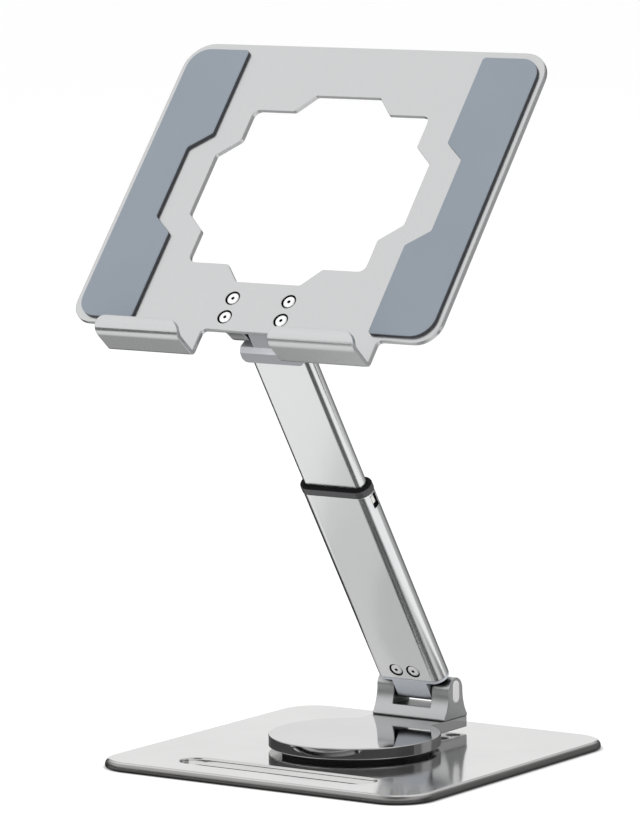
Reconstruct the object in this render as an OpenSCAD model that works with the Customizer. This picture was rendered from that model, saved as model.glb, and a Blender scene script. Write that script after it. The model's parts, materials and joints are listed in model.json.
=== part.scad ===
// Telescopic tablet stand: a slotted base, a turntable, a two-part flat arm and a tilting holder.
// Units are millimetres. The origin is on the desk, under the middle of the base; the user sits at -Y.

/* [Base] */
// Side of the square base plate
base_w = 188; // [170:1:220]
// Thickness of the metal base plate
base_t = 3.8; // [3.6:0.1:8]
// Radius of the base's corners
base_corner_r = 20; // [8:1:40]
// Thickness of the rubber sheet under the base
mat_t = 0.7; // [0.5:0.1:2]
// Length of the phone slot
slot_len = 111; // [60:1:130]
// Width of the phone slot
slot_w = 15.5; // [9:0.5:20]
// Distance from the swivel axis forward to the middle of the slot
slot_forward = 68; // [62:1:74]

/* [Turntable] */
// Diameter of the turning disc
disc_d = 85.4; // [80:0.1:96]
// Thickness of the turning disc
disc_t = 5.7; // [5:0.1:9]
// Air gap between the base and the disc
disc_gap = 2; // [1.5:0.1:3]
// Distance from the swivel axis back to the lower hinge
hinge_back = 59.5; // [54:0.5:70]

/* [Hinges] */
// Width of each hinge bracket
hinge_w = 43; // [40:0.5:50]
// Depth of the foot of a hinge bracket
foot_d = 21.6; // [19:0.2:26]
// Height of a hinge axis above the bracket's foot
hinge_h = 14.3; // [13.5:0.1:18]
// Radius of the rounded ears
ear_r = 6.5; // [6:0.1:7.5]
// Width of the notch between the ears
notch_w = 22.5; // [20:0.5:24]
// Diameter of the hinge pins
pin_d = 5; // [4:0.1:6]

/* [Arm] */
// Distance between the two hinge axes
arm_len = 232; // [225:1:245]
// Lean of the arm forward from upright
arm_lean = 33.75; // [0:0.25:60]
// Width of the flat outer tube
outer_w = 39.8; // [38:0.2:44]
// Thickness of the flat outer tube
outer_t = 12.2; // [12:0.1:13]
// Length of the outer tube
outer_len = 120.7; // [110:0.1:130]
// Wall of the outer tube
outer_wall = 1.8; // [1.6:0.1:2]
// Wall of the inner tube
inner_wall = 1.2; // [1:0.1:1.6]
// Length of the inner tube
inner_len = 119; // [110:1:130]

/* [Holder] */
// Width of the holder plate
plate_w = 211; // [190:1:240]
// Height of the holder plate above its screws
plate_top = 155; // [140:1:180]
// Thickness of the holder plate
plate_t = 2.5; // [2:0.1:3]
// Tilt of the holder back from upright
holder_tilt = 39.7; // [10:0.1:70]
// Width of each hook
hook_w = 48.5; // [40:0.5:55]
// Gap between the two hooks
hook_gap = 51.8; // [45:0.2:60]
// Depth of the flat part of a hook, in front of the plate
hook_depth = 11.5; // [8:0.5:16]
// Thickness of the silicone pads
pad_t = 1.8; // [1:0.1:3]

/* [Hidden] */
$fn = 64;
eps = 0.01;

// Base
base_z = mat_t;
base_top = mat_t + base_t;
base_edge_r = 1.2;
mat_inset = 1.5;
slot_mat_gap = 0.8;

// Swivel
disc_z = base_top + disc_gap;
disc_top = disc_z + disc_t;
disc_edge_r = 0.6;
tab_back_r = 1.2;
tab_back = hinge_back + foot_d / 2;
pivot_d = 8;
pivot_run = 0.05;
bushing_d = 12.2;
bushing_flange_d = 24;
bushing_flange_t = 0.9;
pivot_recess_d = 20;
pivot_recess_z = base_top - 1.7;
pivot_head_d = 16;
pivot_head_z = base_z + 0.1;
pivot_head_h = 1.5;
pivot_thread_d = 6;
pivot_thread_h = 3.6;
pivot_socket_d = 4.6;
ring_d = 72;
ring_band = 6;
ring_clear = 0.1;

// Hinges
flare_land = 1;
flare_in = foot_d / 2 - ear_r;
flare_h = hinge_h - flare_land;
flare_r = (flare_h * flare_h + flare_in * flare_in) / (2 * flare_in);
notch_floor = 5.8;
cap_w = 6.4;
cap_h = 12;
cap_t = 1.2;
cap_drop = 0.6;
pin_run = 0.04;
tongue_w = 20.2;
knuckle_r = 6.1;
knuckle_corner_r = 3;
washer_d = 11;
washer_t = 1;
bracket_screw_x = 16.2;
bracket_screw_y = 5.4;

// Screws
screw_d = 3;
screw_clear_d = 3.4;
screw_head_d = 6.6;
screw_seat_d = 7.5;
screw_seat_h = 1.1;
screw_head_h = 1;
screw_dome_h = 0.45;
screw_socket_d = 1.9;
screw_socket_h = 0.8;
screw_grip = 8;

// Arm, measured along the arm from the lower hinge axis
outer_s = 10.3;
flange_h = 1.5;
collar_s = outer_s + outer_len;
collar_h = 4.3;
collar_proud = 0.2;
slide_gap = 0.3;
cavity_w = outer_w - 2 * outer_wall;
cavity_t = outer_t - 2 * outer_wall;
inner_w = cavity_w - 2 * slide_gap;
inner_t = cavity_t - 2 * slide_gap;
inner_bore_w = inner_w - 2 * inner_wall;
inner_bore_t = inner_t - 2 * inner_wall;
head_p = 14.9;
inner_top = arm_len - head_p;
inner_s = inner_top - inner_len;
plug_gap = 0.1;
lower_plug_h = 24;
upper_plug_h = 26;
knuckle_screw_x = 5;
lower_screw_s = 16.1;
upper_screw_p = 21;
window_h = 7.5;
window_t = 4.4;
window_drop = 1.2;
leg_t = 0.85;
leg_w = 4.2;
leg_h = 9.6;
leg_gap = 0.1;
boss_h = 5.2;
shoe_h = 12;
shoe_plug_h = 10;
shoe_clear = 0.1;
spring_t = 0.4;
spring_w = 8;
spring_h = 9;

// Upper knuckle, measured from the upper hinge axis down the arm
head_half_t = 8.5;
head_ridge_t = 8.1;
head_ridge_p = 9.4;
head_top_p = 7.1;
head_corner_r = 3;

// Holder, measured on the plate's front face from the middle of its four screws
plate_bottom = 13;
plate_top_r = 15;
plate_bottom_r = 12;
strap_fillet_r = 2.5;
strap_overlap = 20;
shelf_v = 28;
tight_r = 3.5;
lip_r = 7.5;
lip_corner_r = 5.5;
hook_in = hook_gap / 2;
hook_out = hook_in + hook_w;
liner_t = 0.8;
pad_out = 102;
pad_in = 68.3;
pad_waist = 79.7;
pad_top = 150.5;
pad_bottom = 10.5;
pad_outer_r = 11;
pad_inner_r = 2;
cut_mid_v = 70.3;
cut_half_h = 45.6;
cut_bump_h = 55.4;
cut_half_w = 51;
cut_wide_w = 62;
cut_wide_h = 17.8;
cut_step_h = 27.2;
cut_bump_top = 18.4;
cut_bump_base = 27.5;
cut_r = 2;

// Vector pointing from one 2-D point to another, one long
function toward(from, to) = (to - from) / norm(to - from);

// Points along the rounded corner at p, which lies between the corners a and b
function corner(a, p, b, r, steps) =
  let (
    da = toward(p, a),
    db = toward(p, b),
    half = acos(da * db) / 2,
    middle = p + toward([0, 0], da + db) * r / sin(half),
    start = p + da * r / tan(half) - middle,
    finish = p + db * r / tan(half) - middle,
    first = atan2(start[1], start[0]),
    turn = atan2(finish[1], finish[0]) - first,
    sweep = turn > 180 ? turn - 360 : (turn < -180 ? turn + 360 : turn)
  )
  [for (i = [0:steps]) middle + r * [cos(first + sweep * i / steps), sin(first + sweep * i / steps)]];

// Outline whose corners [x, y, radius] are all rounded
function rounded(pts, steps = 6) =
  let (n = len(pts))
  [for (i = [0:n - 1])
    each corner(
      [pts[(i + n - 1) % n][0], pts[(i + n - 1) % n][1]],
      [pts[i][0], pts[i][1]],
      [pts[(i + 1) % n][0], pts[(i + 1) % n][1]],
      pts[i][2], steps)];

// The left half of an outline, mirrored to give the right half in reverse order
function mirrored(pts) = [for (i = [len(pts) - 1:-1:0]) [-pts[i][0], pts[i][1], pts[i][2]]];

// Flat oval, w wide and t thick, lying along X
module flat_oval(w, t) {
  square([w - t, t], center = true);
  for (side = [-1, 1])
    translate([side * (w - t) / 2, 0]) circle(d = t);
}

// Extrudes a [y, z] outline along X, centred on x = 0
module along_x(length) {
  rotate([90, 0, 90]) linear_extrude(length, center = true) children();
}

// Ring between two diameters
module ring(outer, inner, h) {
  difference() {
    cylinder(d = outer, h = h);
    translate([0, 0, -eps]) cylinder(d = inner, h = h + 2 * eps);
  }
}

// Screw pointing down -Z, with the underside of its domed head at z = 0
module screw(grip) {
  dome_r = (screw_head_d * screw_head_d / 4 + screw_dome_h * screw_dome_h) / (2 * screw_dome_h);
  difference() {
    union() {
      cylinder(d = screw_head_d, h = screw_head_h - screw_dome_h);
      intersection() {
        translate([0, 0, screw_head_h - dome_r]) sphere(r = dome_r);
        cylinder(d = screw_head_d, h = screw_head_h + eps);
      }
      translate([0, 0, -grip]) cylinder(d = screw_d, h = grip + eps);
    }
    translate([0, 0, screw_head_h - screw_socket_h])
      cylinder(d = screw_socket_d, h = screw_socket_h + eps, $fn = 6);
  }
}

// Frame at the lower hinge axis, upright
module at_lower_hinge() {
  translate([0, hinge_back, disc_top + hinge_h]) children();
}

// Frame of the arm: origin on the lower hinge axis, +Z up the arm, -Y its front face
module on_arm() {
  at_lower_hinge() rotate([arm_lean, 0, 0]) children();
}

// Frame at the upper hinge axis, turned with the holder: -Y is the holder's front
module at_upper_hinge() {
  on_arm() translate([0, 0, arm_len]) rotate([-arm_lean - holder_tilt, 0, 0]) children();
}

// Frame on the holder plate's front face, at the middle of its screws
module on_plate() {
  at_upper_hinge() translate([0, -hinge_h - plate_t, 0]) children();
}

// Frame that stands a bracket on the back of the holder plate
module bracket_on_plate() {
  at_upper_hinge() rotate([-90, 0, 0]) children();
}

// The four places of a bracket's screws, on its foot
module at_bracket_screws() {
  for (x = [-1, 1], y = [-1, 1])
    translate([x * bracket_screw_x, y * bracket_screw_y, -hinge_h]) children();
}

// Side outline of a hinge bracket: round ears on a concave flared foot
module bracket_outline() {
  circle(r = ear_r);
  difference() {
    translate([-foot_d / 2, -hinge_h]) square([foot_d, hinge_h]);
    for (side = [-1, 1])
      translate([side * (ear_r + flare_r), 0]) circle(r = flare_r, $fn = 128);
  }
}

// Oblong outline of the cap over a pin's end, as [y, z]
module cap_outline(gap = 0) {
  translate([0, -cap_drop]) rotate(90) flat_oval(cap_h + gap, cap_w + gap);
}

// Two-eared hinge bracket: origin on the hinge axis, foot below
module bracket() {
  difference() {
    along_x(hinge_w) bracket_outline();
    translate([-notch_w / 2, -foot_d, -hinge_h + notch_floor])
      cube([notch_w, 2 * foot_d, hinge_h + 2 * ear_r]);
    along_x(hinge_w + 2) circle(d = pin_d);
    for (side = [-1, 1])
      translate([side * hinge_w / 2, 0, 0]) along_x(2 * cap_t) cap_outline();
    at_bracket_screws() translate([0, 0, -eps]) cylinder(d = screw_d, h = screw_grip + eps);
  }
}

// Hinge pin, pressed into both ears
module pin() {
  along_x(hinge_w - 2 * cap_t) circle(d = pin_d);
}

// Oblong caps that close the two pin bores
module pin_caps() {
  for (side = [-1, 1])
    translate([side * (hinge_w - cap_t) / 2, 0, 0]) along_x(cap_t) cap_outline();
}

// Friction washers between the ears and the tongue
module washers() {
  stack = (notch_w + tongue_w) / 4;
  for (side = [-1, 1])
    translate([side * stack, 0, 0]) along_x(washer_t)
      difference() {
        circle(d = washer_d);
        circle(d = pin_d + 2 * pin_run);
      }
}

// Four bracket screws, each with its head h below the foot
module bracket_screws(h) {
  at_bracket_screws() translate([0, 0, -h]) rotate([180, 0, 0]) screw(h + screw_grip - 0.5);
}

// Tongue between the ears, from its round end up to z = top
module tongue(top) {
  intersection() {
    along_x(tongue_w) {
      circle(r = knuckle_r);
      translate([-knuckle_r, 0]) square([2 * knuckle_r, top]);
    }
    rotate([90, 0, 0]) linear_extrude(4 * knuckle_r, center = true)
      polygon(rounded([
        [-tongue_w / 2, top + 1, 0.2], [tongue_w / 2, top + 1, 0.2],
        [tongue_w / 2, -knuckle_r, knuckle_corner_r], [-tongue_w / 2, -knuckle_r, knuckle_corner_r]
      ]));
  }
}

module pin_bore() {
  along_x(hinge_w) circle(d = pin_d + 2 * pin_run);
}

// Corner of the base slab, filleted along its top edge
module slab_corner(r, t, edge) {
  rotate_extrude() {
    square([r - edge, t]);
    square([r, t - edge]);
    translate([r - edge, t - edge]) intersection() {
      circle(r = edge);
      square([edge, edge]);
    }
  }
}

// Cross-section of the base slab, filleted along its top edges
module slab_section(w, t, edge) {
  translate([-w / 2 + edge, 0]) square([w - 2 * edge, t]);
  translate([-w / 2, 0]) square([w, t - edge]);
  for (side = [-1, 1])
    translate([side * (w / 2 - edge), t - edge]) circle(r = edge);
}

// Square slab with round corners and a filleted top edge
module slab(w, r, t, edge) {
  span = w - 2 * r;
  for (x = [-1, 1], y = [-1, 1])
    translate([x * span / 2, y * span / 2, 0]) slab_corner(r, t, edge);
  for (turn = [0, 90])
    rotate(turn) along_x(span) slab_section(w, t, edge);
}

module base_plate() {
  color("silver")
  difference() {
    translate([0, 0, base_z]) slab(base_w, base_corner_r, base_t, base_edge_r);
    translate([0, -slot_forward, -1]) linear_extrude(base_top + 2) flat_oval(slot_len, slot_w);
    translate([0, 0, -1]) cylinder(d = bushing_d, h = base_top + 2);
    translate([0, 0, -1]) cylinder(d = pivot_recess_d, h = pivot_recess_z + 1);
  }
}

module base_mat() {
  half = base_w / 2 - mat_inset;
  r = base_corner_r - mat_inset;
  color([0.07, 0.07, 0.07])
  linear_extrude(mat_t) difference() {
    polygon(rounded([[-half, -half, r], [half, -half, r], [half, half, r], [-half, half, r]], 8));
    translate([0, -slot_forward]) flat_oval(slot_len + 2 * slot_mat_gap, slot_w + 2 * slot_mat_gap);
  }
}

module pivot_bushing() {
  color("white")
  difference() {
    union() {
      translate([0, 0, pivot_recess_z]) cylinder(d = bushing_d, h = base_top - pivot_recess_z);
      translate([0, 0, base_top]) cylinder(d = bushing_flange_d, h = bushing_flange_t);
    }
    cylinder(d = pivot_d + 2 * pivot_run, h = disc_top);
  }
}

module slide_ring() {
  color([0.12, 0.12, 0.12])
  translate([0, 0, base_top]) ring(ring_d, ring_d - 2 * ring_band, disc_gap - ring_clear);
}

module turntable() {
  tab_r = tab_back_r;
  half = hinge_w / 2;
  color([0.82, 0.83, 0.85])
  difference() {
    union() {
      translate([0, 0, disc_z]) rotate_extrude($fn = 128) {
        square([disc_d / 2 - disc_edge_r, disc_t]);
        translate([0, disc_edge_r]) square([disc_d / 2, disc_t - 2 * disc_edge_r]);
        for (z = [disc_edge_r, disc_t - disc_edge_r])
          translate([disc_d / 2 - disc_edge_r, z]) circle(r = disc_edge_r, $fn = 32);
      }
      translate([0, 0, disc_z]) linear_extrude(disc_t) {
        translate([-half, 0]) square([hinge_w, tab_back - tab_r]);
        translate([-half + tab_r, 0]) square([hinge_w - 2 * tab_r, tab_back]);
        for (side = [-1, 1])
          translate([side * (half - tab_r), tab_back - tab_r]) circle(r = tab_r, $fn = 32);
      }
    }
    translate([0, 0, disc_z - 1]) cylinder(d = pivot_thread_d, h = pivot_thread_h + 1);
    at_lower_hinge() at_bracket_screws() translate([0, 0, -disc_t - 1]) {
      cylinder(d = screw_clear_d, h = disc_t + 2);
      cylinder(d = screw_seat_d, h = 1 + disc_t / 2);
    }
  }
}

module pivot_screw() {
  color([0.45, 0.45, 0.47])
  difference() {
    union() {
      translate([0, 0, pivot_head_z]) cylinder(d = pivot_head_d, h = pivot_head_h);
      translate([0, 0, pivot_head_z]) cylinder(d = pivot_d, h = disc_z - pivot_head_z);
      translate([0, 0, pivot_head_z]) cylinder(d = pivot_thread_d, h = disc_z - pivot_head_z + pivot_thread_h - 0.4);
    }
    translate([0, 0, pivot_head_z - eps]) cylinder(d = pivot_socket_d, h = 2.4, $fn = 6);
  }
}

module pivot_washer() {
  color([0.3, 0.3, 0.32])
  translate([0, 0, pivot_head_z + pivot_head_h])
    ring(pivot_head_d - 1, pivot_d + 0.3, pivot_recess_z - pivot_head_z - pivot_head_h - 0.1);
}

module lower_bracket() {
  color([0.7, 0.71, 0.72])
  at_lower_hinge() bracket();
}

module lower_bracket_screws() {
  color([0.5, 0.5, 0.52])
  at_lower_hinge() bracket_screws(disc_t / 2);
}

module lower_pin() {
  color([0.5, 0.5, 0.52])
  at_lower_hinge() pin();
}

module lower_pin_caps() {
  color([0.9, 0.9, 0.92])
  at_lower_hinge() pin_caps();
}

module lower_washers() {
  color([0.2, 0.2, 0.2])
  at_lower_hinge() washers();
}

module outer_tube() {
  color([0.85, 0.86, 0.87])
  on_arm() difference() {
    translate([0, 0, outer_s]) linear_extrude(outer_len) difference() {
      flat_oval(outer_w, outer_t);
      flat_oval(cavity_w, cavity_t);
    }
    for (x = [-1, 1])
      translate([x * knuckle_screw_x, 0, lower_screw_s]) rotate([90, 0, 0]) {
        cylinder(d = screw_clear_d, h = outer_t);
        translate([0, 0, outer_t / 2 - screw_seat_h]) cylinder(d = screw_seat_d, h = outer_t);
      }
    for (side = [-1, 1]) {
      translate([side * (outer_w / 2 - 2), 0, collar_s - window_drop - window_h / 2])
        cube([6, window_t, window_h], center = true);
      translate([side * (cavity_w / 2 + leg_t / 2 - 1), 0, collar_s - leg_h / 2])
        cube([leg_t + 2 + leg_gap, leg_w + 2 * leg_gap, leg_h + 0.2], center = true);
    }
  }
}

module lower_knuckle() {
  color([0.6, 0.62, 0.67])
  on_arm() difference() {
    union() {
      tongue(outer_s - flange_h + eps);
      translate([0, 0, outer_s - flange_h]) linear_extrude(flange_h) flat_oval(outer_w, outer_t);
      translate([0, 0, outer_s - eps]) linear_extrude(lower_plug_h)
        flat_oval(cavity_w - 2 * plug_gap, cavity_t - 2 * plug_gap);
    }
    pin_bore();
    for (x = [-1, 1])
      translate([x * knuckle_screw_x, 0, lower_screw_s]) rotate([90, 0, 0])
        cylinder(d = screw_d, h = outer_t, center = true);
  }
}

module lower_knuckle_screws() {
  color([0.9, 0.9, 0.92])
  on_arm() for (x = [-1, 1])
    translate([x * knuckle_screw_x, -outer_t / 2 + screw_seat_h, lower_screw_s])
      rotate([90, 0, 0]) screw(screw_grip - 0.5);
}

module collar() {
  color([0.28, 0.28, 0.3])
  on_arm() {
    translate([0, 0, collar_s]) linear_extrude(collar_h) difference() {
      flat_oval(outer_w + 2 * collar_proud, outer_t + 2 * collar_proud);
      flat_oval(cavity_w - 2 * plug_gap, cavity_t - 2 * plug_gap);
    }
    for (side = [-1, 1]) {
      translate([side * (cavity_w / 2 + leg_t / 2), 0, collar_s - leg_h / 2 + eps])
        cube([leg_t, leg_w, leg_h], center = true);
      translate([side * (cavity_w / 2 + leg_t), 0, collar_s - window_drop - window_h / 2])
        cube([1.2, leg_w - 0.4, boss_h], center = true);
    }
  }
}

module inner_tube() {
  color([0.85, 0.86, 0.87])
  on_arm() difference() {
    translate([0, 0, inner_s]) linear_extrude(inner_len) difference() {
      flat_oval(inner_w, inner_t);
      flat_oval(inner_bore_w, inner_bore_t);
    }
    for (x = [-1, 1])
      translate([x * knuckle_screw_x, 0, arm_len - upper_screw_p]) rotate([-90, 0, 0])
        cylinder(d = screw_d, h = outer_t);
  }
}

module guide_shoe() {
  color([0.9, 0.9, 0.88])
  on_arm() difference() {
    union() {
      translate([0, 0, inner_s - shoe_h]) linear_extrude(shoe_h)
        flat_oval(cavity_w - 2 * shoe_clear, cavity_t - 2 * shoe_clear);
      translate([0, 0, inner_s - eps]) linear_extrude(shoe_plug_h)
        flat_oval(inner_bore_w - 2 * plug_gap, inner_bore_t - 2 * plug_gap);
    }
    translate([-spring_w / 2 - 0.3, cavity_t / 2 - 1.4, inner_s - shoe_h / 2 - spring_h / 2 - 0.3])
      cube([spring_w + 0.6, 3, spring_h + 0.6]);
  }
}

// Bowed leaf spring in the shoe's pocket, pressing on the back wall of the outer tube
module slide_spring() {
  rise = 0.8;
  bow_r = (spring_h * spring_h / 4 + rise * rise) / (2 * rise);
  crown = cavity_t / 2 - 0.05;
  color([0.75, 0.75, 0.78])
  on_arm() translate([0, 0, inner_s - shoe_h / 2]) along_x(spring_w) intersection() {
    translate([crown - bow_r, 0]) difference() {
      circle(r = bow_r, $fn = 128);
      circle(r = bow_r - spring_t, $fn = 128);
    }
    translate([0, -spring_h / 2]) square([cavity_t, spring_h]);
  }
}

// The knuckle's body, with +Z pointing up towards the hinge axis at z = 0
module upper_head() {
  intersection() {
    along_x(inner_w) polygon([
      [-head_half_t, -head_p], [head_half_t, -head_p],
      [head_ridge_t, -head_ridge_p], [knuckle_r, -head_top_p],
      [-knuckle_r, -head_top_p], [-head_ridge_t, -head_ridge_p]
    ]);
    rotate([90, 0, 0]) linear_extrude(4 * head_half_t, center = true)
      polygon(rounded([
        [-inner_w / 2, -head_p, head_corner_r], [inner_w / 2, -head_p, head_corner_r],
        [inner_w / 2, -head_top_p + 1, 0.4], [-inner_w / 2, -head_top_p + 1, 0.4]
      ]));
  }
}

module upper_knuckle() {
  color([0.6, 0.62, 0.67])
  on_arm() translate([0, 0, arm_len]) difference() {
    union() {
      mirror([0, 0, 1]) tongue(head_top_p + 0.5);
      upper_head();
      translate([0, 0, -head_p - upper_plug_h + eps]) linear_extrude(upper_plug_h)
        flat_oval(inner_bore_w - 2 * plug_gap, inner_bore_t - 2 * plug_gap);
    }
    pin_bore();
    for (x = [-1, 1])
      translate([x * knuckle_screw_x, 0, -upper_screw_p]) rotate([90, 0, 0])
        cylinder(d = screw_d, h = outer_t, center = true);
  }
}

module upper_knuckle_screws() {
  color([0.9, 0.9, 0.92])
  on_arm() for (x = [-1, 1])
    translate([x * knuckle_screw_x, inner_t / 2, arm_len - upper_screw_p])
      rotate([-90, 0, 0]) screw(inner_t / 2 + inner_bore_t / 2 - 0.5);
}

// Outline of the holder plate with its two straps, as [u, v] with a radius each
plate_half = [
  [-plate_w / 2, plate_top, plate_top_r],
  [-plate_w / 2, -plate_bottom, plate_bottom_r],
  [-hook_out, -plate_bottom, strap_fillet_r],
  [-hook_out, -strap_overlap, 0.2],
  [-hook_in, -strap_overlap, 0.2],
  [-hook_in, -plate_bottom, strap_fillet_r]
];

// Left half of the stepped window in the plate
window_half = [
  [-cut_bump_top, cut_mid_v + cut_bump_h, cut_r],
  [-cut_bump_base, cut_mid_v + cut_half_h, cut_r],
  [-cut_half_w, cut_mid_v + cut_half_h, 2 * cut_r],
  [-cut_half_w, cut_mid_v + cut_step_h, cut_r],
  [-cut_wide_w, cut_mid_v + cut_wide_h, cut_r],
  [-cut_wide_w, cut_mid_v - cut_wide_h, cut_r],
  [-cut_half_w, cut_mid_v - cut_step_h, cut_r],
  [-cut_half_w, cut_mid_v - cut_half_h, 2 * cut_r],
  [-cut_bump_base, cut_mid_v - cut_half_h, cut_r],
  [-cut_bump_top, cut_mid_v - cut_bump_h, cut_r]
];

// Side outline of a hook as [y, z]: strap, tight bend, shelf and curled lip
module hook_outline(t = plate_t) {
  inner_tight = tight_r - plate_t;
  inner_lip = lip_r - plate_t;
  // The strap that comes down from the plate
  translate([plate_t - t, -shelf_v + tight_r]) square([t, shelf_v - tight_r - strap_overlap + 1]);
  // The tight bend under the plate
  translate([-inner_tight, -shelf_v + tight_r]) intersection() {
    difference() {
      circle(r = tight_r);
      circle(r = inner_tight);
    }
    translate([0, -tight_r]) square([tight_r, tight_r]);
  }
  // The shelf
  translate([-hook_depth, -shelf_v]) square([hook_depth - inner_tight, plate_t]);
  // The curled lip
  translate([-hook_depth, -shelf_v + lip_r]) intersection() {
    difference() {
      circle(r = lip_r);
      circle(r = inner_lip);
    }
    translate([-lip_r, -lip_r]) square([lip_r, lip_r]);
  }
}

// Rounds the upper corners of a hook's lip, seen from the front
module hook_front() {
  rotate([90, 0, 0]) linear_extrude(2 * hook_depth + 2 * lip_r, center = true)
    polygon(rounded([
      [-hook_w / 2, -shelf_v - 1, 0.2], [hook_w / 2, -shelf_v - 1, 0.2],
      [hook_w / 2, -shelf_v + lip_r, lip_corner_r], [-hook_w / 2, -shelf_v + lip_r, lip_corner_r]
    ]));
}

module hook() {
  lip_y = -hook_depth - lip_r;
  difference() {
    along_x(hook_w) hook_outline();
    difference() {
      translate([-hook_w, lip_y - 1, -shelf_v - 1]) cube([2 * hook_w, lip_r, 2 * lip_r]);
      hook_front();
    }
  }
}

module holder_plate() {
  color([0.83, 0.84, 0.86])
  on_plate() difference() {
    union() {
      translate([0, plate_t, 0]) rotate([90, 0, 0]) linear_extrude(plate_t)
        polygon(rounded(concat(plate_half, mirrored(plate_half)), 8));
      for (side = [-1, 1])
        translate([side * (hook_in + hook_w / 2), 0, 0]) hook();
    }
    rotate([90, 0, 0]) linear_extrude(4 * plate_t, center = true)
      polygon(rounded(concat(window_half, mirrored(window_half)), 4));
    for (x = [-1, 1], z = [-1, 1])
      translate([x * bracket_screw_x, 0, z * bracket_screw_y]) rotate([90, 0, 0]) {
        translate([0, 0, -2 * plate_t]) cylinder(d = screw_clear_d, h = 4 * plate_t);
        translate([0, 0, -screw_seat_h]) cylinder(d = screw_seat_d, h = 2 * plate_t);
      }
  }
}

// Silicone pad on the left or the right of the plate
module side_pad() {
  waist_low = cut_mid_v - cut_wide_h - 3.5;
  waist_high = cut_mid_v + cut_wide_h + 2.5;
  step = 9;
  translate([0, -eps, 0]) rotate([90, 0, 0]) linear_extrude(pad_t - eps)
    polygon(rounded([
      [-pad_out, pad_top, pad_outer_r], [-pad_out, -pad_bottom, pad_outer_r],
      [-pad_in, -pad_bottom, pad_inner_r], [-pad_in, waist_low - step, pad_inner_r],
      [-pad_waist, waist_low, pad_inner_r], [-pad_waist, waist_high, pad_inner_r],
      [-pad_in, waist_high + step, pad_inner_r], [-pad_in, pad_top, pad_inner_r]
    ]));
}

module left_pad() {
  color([0.58, 0.6, 0.65]) on_plate() side_pad();
}

module right_pad() {
  color([0.58, 0.6, 0.65]) on_plate() mirror([1, 0, 0]) side_pad();
}

// Silicone strips that line the hooks' shelves and lips
module hook_liners() {
  inner_lip = lip_r - plate_t;
  floor_v = -shelf_v + plate_t;
  strip_w = hook_w - 8;
  strip_y = -1.5;
  color([0.5, 0.52, 0.56])
  on_plate() for (side = [-1, 1])
    translate([side * (hook_in + hook_w / 2), 0, 0]) along_x(strip_w) {
      translate([-hook_depth, floor_v]) square([hook_depth + strip_y, liner_t]);
      translate([-hook_depth, -shelf_v + lip_r]) intersection() {
        difference() {
          circle(r = inner_lip);
          circle(r = inner_lip - liner_t);
        }
        translate([-inner_lip, -inner_lip]) square([inner_lip, inner_lip - 1.5]);
      }
    }
}

module upper_bracket() {
  color([0.7, 0.71, 0.72])
  bracket_on_plate() bracket();
}

module holder_screws() {
  color([0.9, 0.9, 0.92])
  bracket_on_plate() bracket_screws(plate_t - screw_seat_h);
}

module upper_pin() {
  color([0.5, 0.5, 0.52])
  bracket_on_plate() pin();
}

module upper_pin_caps() {
  color([0.9, 0.9, 0.92])
  bracket_on_plate() pin_caps();
}

module upper_washers() {
  color([0.2, 0.2, 0.2])
  bracket_on_plate() washers();
}

base_plate();
base_mat();
pivot_bushing();
slide_ring();
turntable();
pivot_screw();
pivot_washer();
lower_bracket();
lower_bracket_screws();
lower_pin();
lower_pin_caps();
lower_washers();
outer_tube();
lower_knuckle();
lower_knuckle_screws();
collar();
inner_tube();
guide_shoe();
slide_spring();
upper_knuckle();
upper_knuckle_screws();
holder_plate();
left_pad();
right_pad();
hook_liners();
upper_bracket();
holder_screws();
upper_pin();
upper_pin_caps();
upper_washers();
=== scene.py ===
"""Looks of the telescopic tablet stand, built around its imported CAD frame.

Local shapes are in millimetres in the frame of their own part. Each piece's matrix puts it in place, in metres.
"""

import json
import math

import bmesh
import bpy
from mathutils import Matrix, Vector
from mathutils.geometry import tessellate_polygon


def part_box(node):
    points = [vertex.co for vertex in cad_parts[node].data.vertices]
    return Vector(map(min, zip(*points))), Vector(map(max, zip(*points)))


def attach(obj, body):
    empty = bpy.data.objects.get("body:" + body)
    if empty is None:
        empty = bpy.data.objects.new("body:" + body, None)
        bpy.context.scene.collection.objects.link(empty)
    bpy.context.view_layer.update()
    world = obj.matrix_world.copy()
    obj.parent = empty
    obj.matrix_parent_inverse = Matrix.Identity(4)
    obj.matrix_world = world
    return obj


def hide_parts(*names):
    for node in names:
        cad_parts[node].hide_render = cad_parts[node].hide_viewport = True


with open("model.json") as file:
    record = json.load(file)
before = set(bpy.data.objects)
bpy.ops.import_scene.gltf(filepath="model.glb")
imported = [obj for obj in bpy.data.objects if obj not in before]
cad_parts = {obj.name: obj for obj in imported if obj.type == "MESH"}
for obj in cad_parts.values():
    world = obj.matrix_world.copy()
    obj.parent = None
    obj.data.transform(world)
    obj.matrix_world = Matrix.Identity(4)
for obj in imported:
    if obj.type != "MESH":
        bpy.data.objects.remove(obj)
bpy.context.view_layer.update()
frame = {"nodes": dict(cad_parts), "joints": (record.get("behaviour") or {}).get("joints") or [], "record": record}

MM = 0.001
JOINTS = {joint["name"]: joint for joint in frame["joints"]}
MOUNTS = {mount["name"]: mount for mount in frame["record"]["mounts"]}

# ---------------------------------------------------------------- frames of the parts


def frame_matrix(origin, up):
    """Frame at origin with +X kept, +Z along up and -Y to the part's front."""
    x = Vector((1, 0, 0))
    z = Vector(up).normalized()
    y = z.cross(x)
    turn = Matrix((x, y, z)).transposed().to_4x4()
    return Matrix.Translation(origin) @ turn


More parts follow.
